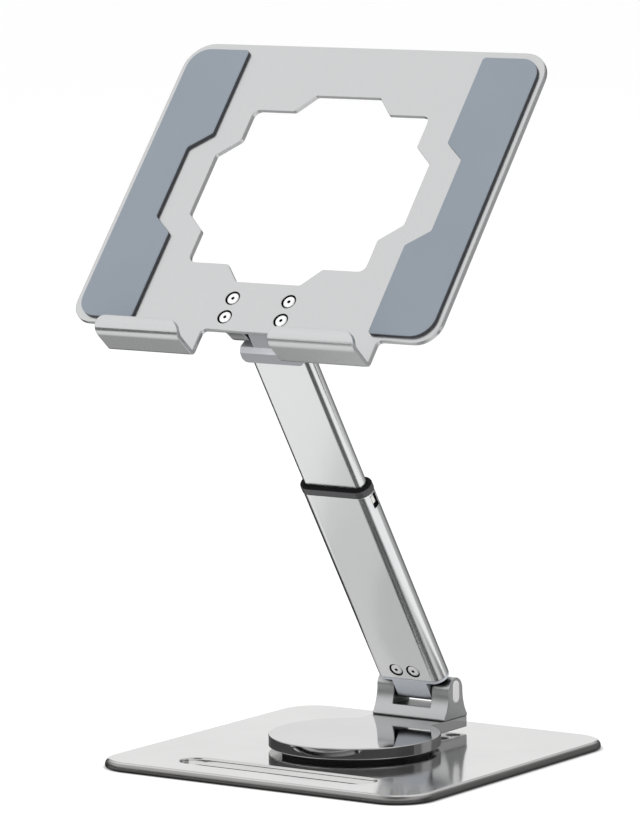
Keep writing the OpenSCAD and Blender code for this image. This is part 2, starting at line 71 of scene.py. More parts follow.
LOWER_HINGE = Vector(JOINTS["arm_lean"]["pos_m"])
UPPER_HINGE = Vector(JOINTS["holder_tilt"]["pos_m"])
PLATE_UP = Vector(MOUNTS["tablet_edge_rest"]["axis"])
HINGE_H = 14.3
PLATE_T = 2.5
BASE_CORNER_R = 20
BRACKET_HALF = 21.5
BRACKET_SCREWS = [(x * 16.2, y * 5.4) for x in (-1, 1) for y in (-1, 1)]
SCREW_SEAT_D = 7.5

DESK = Matrix.Identity(4)
UPRIGHT = frame_matrix(LOWER_HINGE, (0, 0, 1))
ARM = frame_matrix(LOWER_HINGE, UPPER_HINGE - LOWER_HINGE)
ARM_LEN = (UPPER_HINGE - LOWER_HINGE).length / MM
HOLDER = frame_matrix(UPPER_HINGE, PLATE_UP)
HOLDER_BRACKET = HOLDER @ Matrix.Rotation(math.radians(-90), 4, "X")
# On the plate: +X across it, +Y up it and +Z out of its front face
TO_PLATE_FACE = Matrix.Translation((0, -(HINGE_H + PLATE_T) * MM, 0))
PLATE = HOLDER @ TO_PLATE_FACE @ Matrix.Rotation(math.radians(90), 4, "X")

# ---------------------------------------------------------------- camera


def make_camera():
    azimuth = math.radians(33.92)
    elevation = math.radians(7.04)
    roll = math.radians(-0.38)
    distance = 2.6308
    target = Vector((-0.02486, 0.00822, 0.17197))
    back = Vector((
        math.sin(azimuth) * math.cos(elevation),
        -math.cos(azimuth) * math.cos(elevation),
        math.sin(elevation),
    ))
    level = Vector((math.cos(azimuth), math.sin(azimuth), 0))
    upright = back.cross(level)
    right = level * math.cos(roll) + upright * math.sin(roll)
    up = back.cross(right)
    data = bpy.data.cameras.new("camera")
    data.sensor_width = 36
    data.lens = 235.42
    data.clip_end = 200
    camera = bpy.data.objects.new("camera", data)
    turn = Matrix((right, up, back)).transposed().to_4x4()
    camera.matrix_world = Matrix.Translation(target + back * distance) @ turn
    bpy.context.scene.collection.objects.link(camera)
    bpy.context.scene.camera = camera


# ---------------------------------------------------------------- outlines


def arc(centre, radius, first, last, steps):
    """Points on an arc, with angles in degrees."""
    angles = [math.radians(first + (last - first) * i / steps) for i in range(steps + 1)]
    return [Vector((centre[0] + radius * math.cos(a), centre[1] + radius * math.sin(a))) for a in angles]


def corner(before, point, after, radius, steps):
    """Arc that rounds the corner at point."""
    to_before = (before - point).normalized()
    to_after = (after - point).normalized()
    half = to_before.angle(to_after) / 2
    centre = point + (to_before + to_after).normalized() * radius / math.sin(half)
    start = point + to_before * radius / math.tan(half) - centre
    end = point + to_after * radius / math.tan(half) - centre
    first = math.degrees(math.atan2(start.y, start.x))
    turn = (math.degrees(math.atan2(end.y, end.x)) - first + 180) % 360 - 180
    return arc(centre, radius, first, first + turn, steps)


def rounded(points, steps=8):
    """Outline whose corners (x, y, radius) are all rounded."""
    flat = [Vector(p[:2]) for p in points]
    count = len(flat)
    outline = []
    for i, point in enumerate(points):
        outline += corner(flat[i - 1], flat[i], flat[(i + 1) % count], point[2], steps)
    return outline


def both_sides(left_half):
    """An outline from its left half, which runs counterclockwise from the top."""
    return left_half + [(-x, y, r) for x, y, r in reversed(left_half)]


def oval(w, t, steps, centre=(0, 0)):
    """Flat oval, w wide and t thick."""
    reach = (w - t) / 2
    right = arc((centre[0] + reach, centre[1]), t / 2, -90, 90, steps)
    left = arc((centre[0] - reach, centre[1]), t / 2, 90, 270, steps)
    return right + left


def circle(d, steps=64, centre=(0, 0)):
    return arc(centre, d / 2, 0, 360, steps)[:-1]


def moved_in(loop, distance):
    """The loop moved to its left, which is into the material for an outline and for a reversed hole."""
    moved = []
    for i, point in enumerate(loop):
        before = (point - loop[i - 1]).normalized()
        after = (loop[(i + 1) % len(loop)] - point).normalized()
        left = Vector((-before.y - after.y, before.x + after.x)).normalized()
        stretch = max(left.dot(Vector((-before.y, before.x))), 0.4)
        moved.append(point + left * distance / stretch)
    return moved


# ---------------------------------------------------------------- meshes


def add_piece(name, points, faces, place, body, slot, replaces=()):
    """Object from points in mm, smooth shaded, riding on a body."""
    mesh = bpy.data.meshes.new(name)
    mesh.from_pydata([Vector(p) * MM for p in points], [], faces)
    shape = bmesh.new()
    shape.from_mesh(mesh)
    bmesh.ops.remove_doubles(shape, verts=shape.verts, dist=1e-7)
    bmesh.ops.recalc_face_normals(shape, faces=shape.faces)
    for face in shape.faces:
        face.smooth = True
    shape.to_mesh(mesh)
    shape.free()
    piece = bpy.data.objects.new(name, mesh)
    piece.matrix_world = place
    bpy.context.scene.collection.objects.link(piece)
    mesh.materials.append(MATERIALS[slot])
    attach(piece, body)
    if replaces:
        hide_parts(*replaces)
    return piece


def finish_or_shade_faces(piece, slot, wanted):
    """Gives the faces whose centre in mm and normal are wanted a material of their own: a finish, or a near-black
    painted shade.
    """
    piece.data.materials.append(MATERIALS[slot])
    for face in piece.data.polygons:
        if wanted(face.center / MM, face.normal):
            face.material_index = len(piece.data.materials) - 1


def round_edges(piece, width, segments, angle=35):
    bevel = piece.modifiers.new("round edges", "BEVEL")
    bevel.width = width * MM
    bevel.segments = segments
    bevel.limit_method = "ANGLE"
    bevel.angle_limit = math.radians(angle)
    bevel.use_clamp_overlap = True
    bevel.harden_normals = False
    even_shading(piece)


def even_shading(piece):
    """Flat faces shade flat up to their rounded edges."""
    weighted = piece.modifiers.new("even shading", "WEIGHTED_NORMAL")
    weighted.keep_sharp = True
    weighted.weight = 100


def add_part(points, faces, part_points, part_faces):
    """Adds a part's own points and faces to those of a mesh."""
    first = len(points)
    points.extend(part_points)
    faces.extend(tuple(first + i for i in face) for face in part_faces)


def add_ring(points, loop, z):
    """Adds a loop at height z and returns its point numbers."""
    first = len(points)
    points.extend((p.x, p.y, z) for p in loop)
    return list(range(first, len(points)))


def join_rings(faces, rings):
    for low, high in zip(rings, rings[1:]):
        for i in range(len(low)):
            j = (i + 1) % len(low)
            faces.append((low[i], low[j], high[j], high[i]))


def slab_mesh(outline, low, high, bottom_r, top_r, holes=(), hole_r=0.3, segments=4):
    """Plate between two heights, with every edge rounded. Outlines run counterclockwise."""
    points = []
    faces = []
    loops = [(outline, bottom_r, top_r)] + [(hole[::-1], min(hole_r, 0.5), hole_r) for hole in holes]
    ends = []
    for loop, lower_r, upper_r in loops:
        rings = []
        for i in range(segments + 1):
            angle = math.radians(90 * i / segments)
            rings.append(add_ring(points, moved_in(loop, lower_r * (1 - math.sin(angle))),
                                  low + lower_r * (1 - math.cos(angle))))
        for i in range(segments + 1):
            angle = math.radians(90 * i / segments)
            rings.append(add_ring(points, moved_in(loop, upper_r * (1 - math.cos(angle))),
                                  high - upper_r * (1 - math.sin(angle))))
        join_rings(faces, rings)
        ends.append((rings[0], rings[-1]))
    for side in (0, 1):
        numbers = [n for end in ends for n in end[side]]
        polygons = [[Vector(points[n]) for n in end[side]] for end in ends]
        faces.extend(tuple(numbers[i] for i in triangle) for triangle in tessellate_polygon(polygons))
    return points, faces


def slab(name, outline, low, high, place, body, slot, bottom_r=0.3, top_r=0.3, holes=(), hole_r=0.3,
         segments=4, replaces=()):
    """Piece from a slab mesh, its flat faces shaded flat."""
    points, faces = slab_mesh(outline, low, high, bottom_r, top_r, holes, hole_r, segments)
    piece = add_piece(name, points, faces, place, body, slot, replaces)
    even_shading(piece)
    return piece


def lathe_mesh(profile, steps):
    """Solid of revolution about +Z. The profile's (radius, height) runs from the bottom to the top."""
    points = []
    faces = []
    rings = [add_ring(points, circle(2 * radius, steps), height) for radius, height in profile]
    join_rings(faces, rings)
    faces.append(tuple(rings[0][::-1]))
    faces.append(tuple(rings[-1]))
    return points, faces


# ---------------------------------------------------------------- materials


def new_material(name, colour, metallic, roughness, **sockets):
    material = bpy.data.materials.new(name)
    material.use_nodes = True
    shader = material.node_tree.nodes["Principled BSDF"]
    shader.inputs["Base Color"].default_value = (*colour, 1)
    shader.inputs["Metallic"].default_value = metallic
    shader.inputs["Roughness"].default_value = roughness
    for socket, value in sockets.items():
        shader.inputs[socket.replace("_", " ")].default_value = value
    return material, shader


def pattern(material, stretch, scale, detail=4.0):
    """Noise in the part's own axes. stretch is per axis, so brushing runs along its smallest one."""
    nodes, links = material.node_tree.nodes, material.node_tree.links
    where = nodes.new("ShaderNodeTexCoord")
    mapping = nodes.new("ShaderNodeMapping")
    mapping.inputs["Scale"].default_value = stretch
    noise = nodes.new("ShaderNodeTexNoise")
    noise.inputs["Scale"].default_value = scale
    noise.inputs["Detail"].default_value = detail
    noise.inputs["Roughness"].default_value = 0.55
    links.new(where.outputs["Object"], mapping.inputs["Vector"])
    links.new(mapping.outputs["Vector"], noise.inputs["Vector"])
    return noise.outputs["Fac"]


def spread(material, value, low, high, start=0.3, end=0.7):
    """Maps a pattern's value onto a range."""
    remap = material.node_tree.nodes.new("ShaderNodeMapRange")
    remap.inputs["From Min"].default_value = start
    remap.inputs["From Max"].default_value = end
    remap.inputs["To Min"].default_value = low
    remap.inputs["To Max"].default_value = high
    material.node_tree.links.new(value, remap.inputs["Value"])
    return remap.outputs["Result"]


def tint(material, shader, value, dark, light):
    """Colour that drifts between two tones with a pattern."""
    ramp = material.node_tree.nodes.new("ShaderNodeValToRGB")
    ramp.color_ramp.elements[0].position = 0.3
    ramp.color_ramp.elements[1].position = 0.7
    ramp.color_ramp.elements[0].color = (*dark, 1)
    ramp.color_ramp.elements[1].color = (*light, 1)
    material.node_tree.links.new(value, ramp.inputs["Fac"])
    material.node_tree.links.new(ramp.outputs["Color"], shader.inputs["Base Color"])


def relief(material, shader, value, strength, depth):
    bump = material.node_tree.nodes.new("ShaderNodeBump")
    bump.inputs["Strength"].default_value = strength
    bump.inputs["Distance"].default_value = depth
    material.node_tree.links.new(value, bump.inputs["Height"])
    material.node_tree.links.new(bump.outputs["Normal"], shader.inputs["Normal"])


def darken(material, shader, shade):
    """Multiplies the colour by a value."""
    nodes, links = material.node_tree.nodes, material.node_tree.links
    darker = nodes.new("ShaderNodeMix")
    darker.data_type = "RGBA"
    darker.blend_type = "MULTIPLY"
    darker.inputs["Factor"].default_value = 1
    links.new(shader.inputs["Base Color"].links[0].from_socket, darker.inputs["A"])
    links.new(shade, darker.inputs["B"])
    links.new(darker.outputs["Result"], shader.inputs["Base Color"])


def paint_crevice_shade(material, shader, reach):
    """Painted shade: darkens the colour where other surfaces are closer than reach, in metres."""
    near = material.node_tree.nodes.new("ShaderNodeAmbientOcclusion")
    near.samples = 8
    near.inputs["Distance"].default_value = reach
    darken(material, shader, spread(material, near.outputs["AO"], 0.10, 1, 0.30, 0.85))


def shade_by_height(material, output, tone, start, end):
    """Multiplies the colour by tone where a texture coordinate's Z is below start, easing to 1 at end."""
    nodes, links = material.node_tree.nodes, material.node_tree.links
    where = nodes.new("ShaderNodeTexCoord")
    split = nodes.new("ShaderNodeSeparateXYZ")
    links.new(where.outputs[output], split.inputs["Vector"])
    darken(material, nodes["Principled BSDF"], spread(material, split.outputs["Z"], tone, 1, start, end))


def scaled(colour, factor):
    return tuple(min(channel * factor, 1) for channel in colour)


def finish_material(name, colour, metallic, roughness, grain, grain_scale, bump, drift=0.04, reach=0.0,
                    **sockets):
    """Surface with fine grain in its relief and roughness, and slow drift in its tone. With a reach, it also gets
    painted shade in its crevices.
    """
    roughness_drift = 0.15
    relief_depth = 0.00002
    material, shader = new_material(name, colour, metallic, roughness, **sockets)
    fine = pattern(material, grain, grain_scale)
    slow = pattern(material, (1, 1, 1), 18, 2)
    mixed = material.node_tree.nodes.new("ShaderNodeMath")
    mixed.operation = "ADD"
    fine_part = spread(material, fine, -roughness_drift, roughness_drift)
    slow_part = spread(material, slow, 1 - roughness_drift, 1 + roughness_drift)
    material.node_tree.links.new(fine_part, mixed.inputs[0])
    material.node_tree.links.new(slow_part, mixed.inputs[1])
    rough = material.node_tree.nodes.new("ShaderNodeMath")
    rough.operation = "MULTIPLY"
    rough.inputs[1].default_value = roughness
    material.node_tree.links.new(mixed.outputs[0], rough.inputs[0])
    material.node_tree.links.new(rough.outputs[0], shader.inputs["Roughness"])
    tint(material, shader, slow, scaled(colour, 1 - drift), scaled(colour, 1 + drift))
    # With a reach, shade is painted into the colour where other surfaces come close.
    if reach:
        paint_crevice_shade(material, shader, reach)
    relief(material, shader, fine, bump, relief_depth)
    return material


EVEN = (1, 1, 1)
ALONG_X = (0.02, 1, 1)
ALONG_Z = (1, 1, 0.02)

MATERIALS = {
    "base_steel": finish_material("base_steel", (0.69, 0.69, 0.685), 1, 0.10, ALONG_X, 2600, 0.02),
    "base_edge": finish_material("base_edge", (0.40, 0.395, 0.39), 1, 0.34, ALONG_X, 2600, 0.05),
    "mirror_steel": finish_material("mirror_steel", (0.59, 0.59, 0.59), 1, 0.05, EVEN, 900, 0.01),
    # hinge_alloy's reach paints shade into its colour where other surfaces come close.
    "hinge_alloy": finish_material("hinge_alloy", (0.55, 0.555, 0.56), 1, 0.30, EVEN, 3200, 0.08, reach=0.010),
    "tube_aluminium": finish_material("tube_aluminium", (0.86, 0.865, 0.87), 1, 0.21, ALONG_Z, 3200, 0.03,
                                      drift=0.02),
    "plate_aluminium": finish_material("plate_aluminium", (0.69, 0.695, 0.70), 1, 0.27, EVEN, 3600, 0.06,
                                       drift=0.02),
    "knuckle_grey": finish_material("knuckle_grey", (0.76, 0.78, 0.82), 0.5, 0.38, EVEN, 2600, 0.10),
    # tongue_grey's reach paints shade into its colour where other surfaces come close.
    "tongue_grey": finish_material("tongue_grey", (0.76, 0.80, 0.86), 0.3, 0.42, EVEN, 2600, 0.10, reach=0.006),
    "collar_plastic": finish_material("collar_plastic", (0.055, 0.055, 0.058), 0, 0.26, EVEN, 2600, 0.08),
    "pad_silicone": finish_material("pad_silicone", (0.255, 0.292, 0.335), 0, 0.62, EVEN, 2200, 0.25),
    # Near-black colour for the pads' side walls: painted shade along their edges.
    "painted_pad_side_shade": finish_material("painted_pad_side_shade", (0.05, 0.053, 0.06), 0, 0.6, EVEN, 2200, 0.15),
    "mat_rubber": finish_material("mat_rubber", (0.018, 0.018, 0.019), 0, 0.75, EVEN, 1400, 0.4),
    "glide_polymer": finish_material("glide_polymer", (0.80, 0.80, 0.77), 0, 0.42, EVEN, 1800, 0.1),
    "black_polymer": finish_material("black_polymer", (0.02, 0.02, 0.021), 0, 0.45, EVEN, 1800, 0.15),
    # Near-black colour standing in for shade: painted shade in screw sockets, screw seats, cut tube edges and on
    # the collar's top.
    "painted_recess_shade": finish_material("painted_recess_shade", (0.008, 0.008, 0.009), 0, 0.7, EVEN, 1800, 0.1,
                                    Specular_IOR_Level=0.1),
    "bright_steel": finish_material("bright_steel", (0.95, 0.95, 0.95), 0.25, 0.20, EVEN, 2400, 0.03),
    "dark_steel": finish_material("dark_steel", (0.30, 0.30, 0.31), 1, 0.30, EVEN, 2400, 0.08),
}
# The lower knuckle's own finish carries painted shade: in its crevices and on its faces turned down.
OWN_FINISH = {"lower_knuckle": "tongue_grey"}


def shade_undersides():
    """Darkens the base's edge toward the desk, and the knuckles where they face down."""
    base_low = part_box("base_plate")[0].z
    shade_by_height(MATERIALS["base_edge"], "Object", 0.01, base_low + 0.0001, base_low + 0.0026)
    shade_by_height(MATERIALS["knuckle_grey"], "Normal", 0.46, -0.02, 0.12)
    shade_by_height(MATERIALS["tongue_grey"], "Normal", 0.40, -0.95, -0.65)


def paint_cad_nodes():
    """Gives every CAD node that stays the finish of its record slot, or one of its own."""
    for name, node in frame["nodes"].items():
        slots = node.data.materials
        for i, old in enumerate(slots):
            slots[i] = MATERIALS[OWN_FINISH.get(name, old.name)]


# ---------------------------------------------------------------- base and turntable


def make_base():
    low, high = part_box("base_plate")
    half = high.x / MM
    corners = [(-half, -half), (half, -half), (half, half), (-half, half)]
    outline = rounded([(x, y, BASE_CORNER_R) for x, y in corners], 24)
    slot = oval(111, 15.5, 24, (0, MOUNTS["phone_slot"]["pos_m"][1] / MM))
    edge_r = 3
    piece = slab("base_plate_body", outline, low.z / MM, high.z / MM, DESK, "base", "base_steel",
                 bottom_r=0.3, top_r=edge_r, holes=[slot, circle(16.4)], hole_r=1.3, segments=10,
                 replaces=["base_plate"])
    flat_half = half - edge_r
    straight_half = half - BASE_CORNER_R

    def on_edge(centre, normal):
        if normal.z > 0.8:
            return False
        if max(abs(centre.x), abs(centre.y)) > flat_half:
            return True
        beyond = Vector((abs(centre.x) - straight_half, abs(centre.y) - straight_half))
        return min(beyond) > 0 and beyond.length > BASE_CORNER_R - edge_r

    finish_or_shade_faces(piece, "base_edge", on_edge)


def make_turntable():
    low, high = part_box("turntable")
    radius = -low.y / MM
    back = high.y / MM
    meet = math.degrees(math.asin(BRACKET_HALF / radius))
    tab_r = 1.2
    outline = arc((0, 0), radius, 90 + meet, 450 - meet, 112)
    outline += arc((BRACKET_HALF - tab_r, back - tab_r), tab_r, 0, 90, 6)
    outline += arc((-BRACKET_HALF + tab_r, back - tab_r), tab_r, 90, 180, 6)
    seats = [circle(SCREW_SEAT_D, 40, (x, LOWER_HINGE.y / MM + y)) for x, y in BRACKET_SCREWS]
    slab("turntable_body", outline, low.z / MM, high.z / MM, DESK, "turntable", "mirror_steel",
         bottom_r=0.5, top_r=0.5, holes=seats, hole_r=0.2, segments=5, replaces=["turntable"])


# ---------------------------------------------------------------- hinge brackets


def bracket_profile():
    """Side outline of a bracket as (y, z) from its axis: the part above the notch's floor, then the rest."""
    ear_r, foot, land, floor = 6.5, 10.8, 1, -8.5
    drop = HINGE_H - land
    lean = foot - ear_r
    flare_r = (drop * drop + lean * lean) / (2 * lean)
    centre = ear_r + flare_r
    at_floor = math.degrees(math.asin(-floor / flare_r))
    at_foot = math.degrees(math.asin(drop / flare_r))
    right_low = arc((centre, 0), flare_r, 180 + at_foot, 180 + at_floor, 6)
    right_high = arc((centre, 0), flare_r, 180 + at_floor, 180, 12)
    top = arc((0, 0), ear_r, 0, 180, 32)
    left_high = [Vector((-p.x, p.y)) for p in reversed(right_high)]
    left_low = [Vector((-p.x, p.y)) for p in reversed(right_low)]
    upper = right_high + top[1:-1] + left_high
    lower = left_low + [Vector((-foot, -HINGE_H)), Vector((foot, -HINGE_H))] + right_low
    return upper, lower


def make_bracket(name, place, body, node):
    """Two ears on a flared foot, with a notch between them for the arm's tongue."""
    upper, lower = bracket_profile()
    notch_half = 11.25
    stations = (-BRACKET_HALF, -notch_half, notch_half, BRACKET_HALF)
    points = []
    faces = []

    def strip(profile, first, last):
        for a, b in zip(profile, profile[1:]):
            number = len(points)
            points.extend([(first, a.x, a.y), (last, a.x, a.y), (last, b.x, b.y), (first, b.x, b.y)])
            faces.append((number, number + 1, number + 2, number + 3))

    def wall(profile, x):
        number = len(points)
        points.extend((x, p.x, p.y) for p in profile)
        faces.append(tuple(range(number, len(points))))

    for first, last in zip(stations, stations[1:]):
        strip(lower, first, last)
    for first, last in (stations[:2], stations[2:]):
        strip(upper, first, last)
    for x in (stations[0], stations[-1]):
        wall(upper[:-1] + lower[:-1], x)
    for x in stations[1:3]:
        wall(upper, x)
    strip([upper[0], upper[-1]], stations[1], stations[2])
    piece = add_piece(name, points, faces, place, body, "hinge_alloy", [node])
    round_edges(piece, 0.6, 4)


def make_pin_caps(name, place, body, node):
    """Polished oblong caps over a pin's two ends."""
    points = []
    faces = []
    drop = 0.6
    outline = [Vector((-p.y, p.x - drop)) for p in oval(11.4, 5.8, 20)]
    cap_points, cap_faces = slab_mesh(outline, 20.6, 21.9, 0.1, 0.55, segments=6)
    for side in (-1, 1):
        add_part(points, faces, [(side * z, x, y) for x, y, z in cap_points], cap_faces)
    piece = add_piece(name, points, faces, place, body, "bright_steel", [node])
    even_shading(piece)


# ---------------------------------------------------------------- arm


def tube_mesh(w, t, low, high, windows=(), holes=(), holes_face=-1):
    """Outer skin of a flat oval tube along +Z. windows are (half width, low, high) on both round sides, and
    holes are (x, z, diameter) in one flat face."""
    side_half = math.degrees(math.asin(windows[0] / (t / 2))) if windows else 20
    turns = [-90 + (90 - side_half) * i / 10 for i in range(11)]
    turns += [-side_half + 2 * side_half * i / 6 for i in range(1, 7)]
    turns += [side_half + (90 - side_half) * i / 10 for i in range(1, 11)]
    reach = (w - t) / 2
    levels = sorted({low, high, *(windows[1:] if windows else ())})
    points = []
    faces = []
    for side in (-1, 1):
        for a, b in zip(turns, turns[1:]):
            for z, next_z in zip(levels, levels[1:]):
                middle = (a + b) / 2
                if windows and abs(middle) < side_half and windows[1] <= z < windows[2]:
                    continue
                first = len(points)
                for turn, height in ((a, z), (b, z), (b, next_z), (a, next_z)):
                    angle = math.radians(turn)
                    points.append((side * (reach + t / 2 * math.cos(angle)), t / 2 * math.sin(angle), height))
                faces.append((first, first + 1, first + 2, first + 3))
    for face_side in (-1, 1):
        edge = [Vector((-reach, low))] + [Vector((reach, z)) for z in levels] + [
            Vector((-reach, z)) for z in reversed(levels)][:-1]
        loops = [edge]
        if face_side == holes_face:
            loops += [circle(d, 40, (x, z))[::-1] for x, z, d in holes]
        first = len(points)
        flat = [p for loop in loops for p in loop]
        points.extend((p.x, face_side * t / 2, p.y) for p in flat)
        triangles = tessellate_polygon([[p.to_3d() for p in loop] for loop in loops])
        faces.extend(tuple(first + i for i in triangle) for triangle in triangles)
    return points, faces


def make_tube(name, w, t, wall, low, high, body, node, edge, **openings):
    """Tube with its wall inside the skin, and near-black painted shade on the cut edges of its ends and openings.
    """
    points, faces = tube_mesh(w, t, low, high, **openings)
    piece = add_piece(name, points, faces, ARM, body, "tube_aluminium", [node])
    # The rim faces of the wall get a near-black colour: painted shade on the cut edges.
    piece.data.materials.append(MATERIALS["painted_recess_shade"])
    thick = piece.modifiers.new("wall", "SOLIDIFY")
    thick.thickness = wall * MM
    thick.offset = -1
    thick.use_even_offset = True
    thick.material_offset_rim = 1
    round_edges(piece, edge, 3, 50)


OUTER_W, OUTER_T = 39.8, 12.2
OUTER_LOW, OUTER_HIGH = 10.3, 131.0
INNER_W, INNER_T = 35.6, 8.0
INNER_LOW, INNER_HIGH = 98.1, ARM_LEN - 14.9
SCREW_X = 5
LOWER_SCREW_Z = 16.1
UPPER_SCREW_Z = ARM_LEN - 21
# Half width, low end and high end
SNAP_WINDOW = (2.2, 122.3, 129.8)


def make_arm():
    make_tube("outer_tube_body", OUTER_W, OUTER_T, 1.8, OUTER_LOW, OUTER_HIGH, "lower_arm", "outer_tube", 0.25,
              windows=SNAP_WINDOW, holes=[(x, LOWER_SCREW_Z, SCREW_SEAT_D) for x in (-SCREW_X, SCREW_X)])
    make_tube("inner_tube_body", INNER_W, INNER_T, 1.2, INNER_LOW, INNER_HIGH, "upper_arm", "inner_tube", 0.2)


def make_collar():
    """Plastic band on the outer tube's mouth, and the snap tabs that hold it in the tube's windows."""
    overhang, clearance, band_h = 0.6, 0.5, 4.3
    outer = oval(OUTER_W + overhang, OUTER_T + overhang, 28)
    bore = oval(INNER_W + clearance, INNER_T + clearance, 28)
    band = slab("collar_band", outer, OUTER_HIGH, OUTER_HIGH + band_h, ARM, "lower_arm", "collar_plastic",
                bottom_r=0.3, top_r=1.0, holes=[bore], hole_r=0.45, segments=6, replaces=["collar"])
    # The band's faces turned up are painted near black: painted shade of the gap around the inner tube.
    finish_or_shade_faces(band, "painted_recess_shade", lambda centre, normal: normal.z > 0.45)
    points = []
    faces = []
    left, right, low, high, corner_r = -1.9, 0.5, 124.6, 129, 0.5
    tab = rounded([(left, low, corner_r), (right, low, corner_r), (right, high, corner_r),
                   (left, high, corner_r)], 4)
    tab_points, tab_faces = slab_mesh(tab, 17.9, 19.3, 0.1, 0.4)
    for side in (-1, 1):
        add_part(points, faces, [(side * z, x, y) for x, y, z in tab_points], tab_faces)
    even_shading(add_piece("collar_snaps", points, faces, ARM, "lower_arm", "glide_polymer"))


# ---------------------------------------------------------------- holder


def window_outline():
    """Stepped window in the plate, counterclockwise."""
    mid, bump, high, step, wide = 70.3, 55.4, 45.6, 27.2, 17.8
    r = 2
    left = [(-18.4, mid + bump, r), (-27.5, mid + high, r), (-51, mid + high, 2 * r), (-51, mid + step, r),
            (-62, mid + wide, r), (-62, mid - wide, r), (-51, mid - step, r), (-51, mid - high, 2 * r),
            (-27.5, mid - high, r), (-18.4, mid - bump, r)]
    return rounded(both_sides(left), 6)


HOOK_IN, HOOK_OUT = 25.9, 74.4
BEND_V = -24.5
TIGHT_R = 2.25
SHELF_N = 11.5
BEND_N = 1.0
LIP_R = 6.25
QUARTER = math.pi / 2
SHELF_S = BEND_V - TIGHT_R * QUARTER
LIP_S = SHELF_S - (SHELF_N - BEND_N)
END_S = LIP_S - LIP_R * QUARTER


def fold(point):
    """Puts a point of the flat blank (across, along, out) onto the bent hooks. The middle layer keeps its
    length."""
    u, s, z = point
    w = -z - PLATE_T / 2
    if s >= BEND_V:
        return u, s, z
    if s >= SHELF_S:
        turn = (BEND_V - s) / TIGHT_R
        radius = TIGHT_R + w
        return u, BEND_V - radius * math.sin(turn), BEND_N - radius * math.cos(turn)
    if s >= LIP_S:
        return u, BEND_V - TIGHT_R - w, BEND_N + SHELF_S - s
    turn = (LIP_S - s) / LIP_R
    radius = LIP_R + w
    return u, BEND_V - TIGHT_R + LIP_R - radius * math.cos(turn), SHELF_N + radius * math.sin(turn)


def make_holder_plate():
    """Plate and hooks, cut and rounded as one flat blank and then bent."""
    left = [(-105.5, 155, 15), (-105.5, -13, 12), (-HOOK_OUT, -13, 2.5), (-HOOK_OUT, END_S, 5.5),
            (-HOOK_IN, END_S, 5.5), (-HOOK_IN, -13, 2.5)]
    seat_spots = [Vector(spot) for spot in BRACKET_SCREWS]
    seats = [circle(SCREW_SEAT_D, 40, spot) for spot in seat_spots]
    seat_wall = SCREW_SEAT_D / 2 + 0.15
    points, faces = slab_mesh(rounded(both_sides(left), 10), -PLATE_T, 0, 0.35, 0.5,
                              [window_outline()] + seats, 0.4, 5)
    piece = add_piece("holder_plate_body", points, faces, PLATE, "holder", "plate_aluminium", ["holder_plate"])
    # The screw seats' walls are painted near black: painted shade in the recesses.
    finish_or_shade_faces(piece, "painted_recess_shade",
                 lambda centre, normal: min((centre.to_2d() - spot).length for spot in seat_spots) < seat_wall)
    shape = bmesh.new()
    shape.from_mesh(piece.data)
    cuts = [BEND_V - (BEND_V - SHELF_S) * i / 10 for i in range(11)]
    cuts += [LIP_S - (LIP_S - END_S) * i / 18 for i in range(18)]
    for s in cuts:
        bmesh.ops.bisect_plane(shape, geom=shape.verts[:] + shape.edges[:] + shape.faces[:], dist=1e-7,
                               plane_co=(0, s * MM, 0), plane_no=(0, 1, 0))
    for vert in shape.verts:
        vert.co = Vector(fold(vert.co / MM)) * MM
    shape.to_mesh(piece.data)
    shape.free()
    even_shading(piece)


def make_pads():
    """Silicone pads glued to the plate's front."""
    low, high = 49.0, 90.6
    step = 9
    left = [(-68.3, 150.5, 2), (-102, 150.5, 11), (-102, -10.5, 11), (-68.3, -10.5, 2), (-68.3, low - step, 2),
            (-79.7, low, 2), (-79.7, high, 2), (-68.3, high + step, 2)]
    right = [(-x, y, r) for x, y, r in reversed(left)]
    for name, corners in (("left_pad", left), ("right_pad", right)):
        skin = slab(name + "_skin", rounded(corners), 0.02, 1.8, PLATE, "holder", "pad_silicone", bottom_r=0.1,
                    top_r=0.5, segments=5, replaces=[name])
        # The pads' side walls are painted near black: painted shade along their edges.
        finish_or_shade_faces(skin, "painted_pad_side_shade", lambda centre, normal: normal.z < 0.4)


# ---------------------------------------------------------------- screws


def screw_head_mesh():
    """Low domed head with a hexagon socket, its underside at z = 0."""
    steps = 48
    points = []
    faces = []
    dome = [(2.9, 0), (3.05, 0.12), (3.05, 0.55), (3.0, 0.68),
            (2.85, 0.78), (2.5, 0.85), (1.9, 0.9), (1.1, 0.93)]
    rings = [add_ring(points, circle(2 * radius, steps), height) for radius, height in dome]
    for size, height in ((0.86, 0.93), (0.8, 0.88), (0.76, 0.2)):
        hexagon = []
        for i in range(steps):
            turn = 360 * i / steps
            reach = size / math.cos(math.radians((turn + 30) % 60 - 30))
            hexagon.append(Vector((reach * math.cos(math.radians(turn)), reach * math.sin(math.radians(turn)))))
        rings.append(add_ring(points, hexagon, height))
    join_rings(faces, rings)
    faces.append(tuple(rings[0][::-1]))
    faces.append(tuple(rings[-1]))
    return points, faces


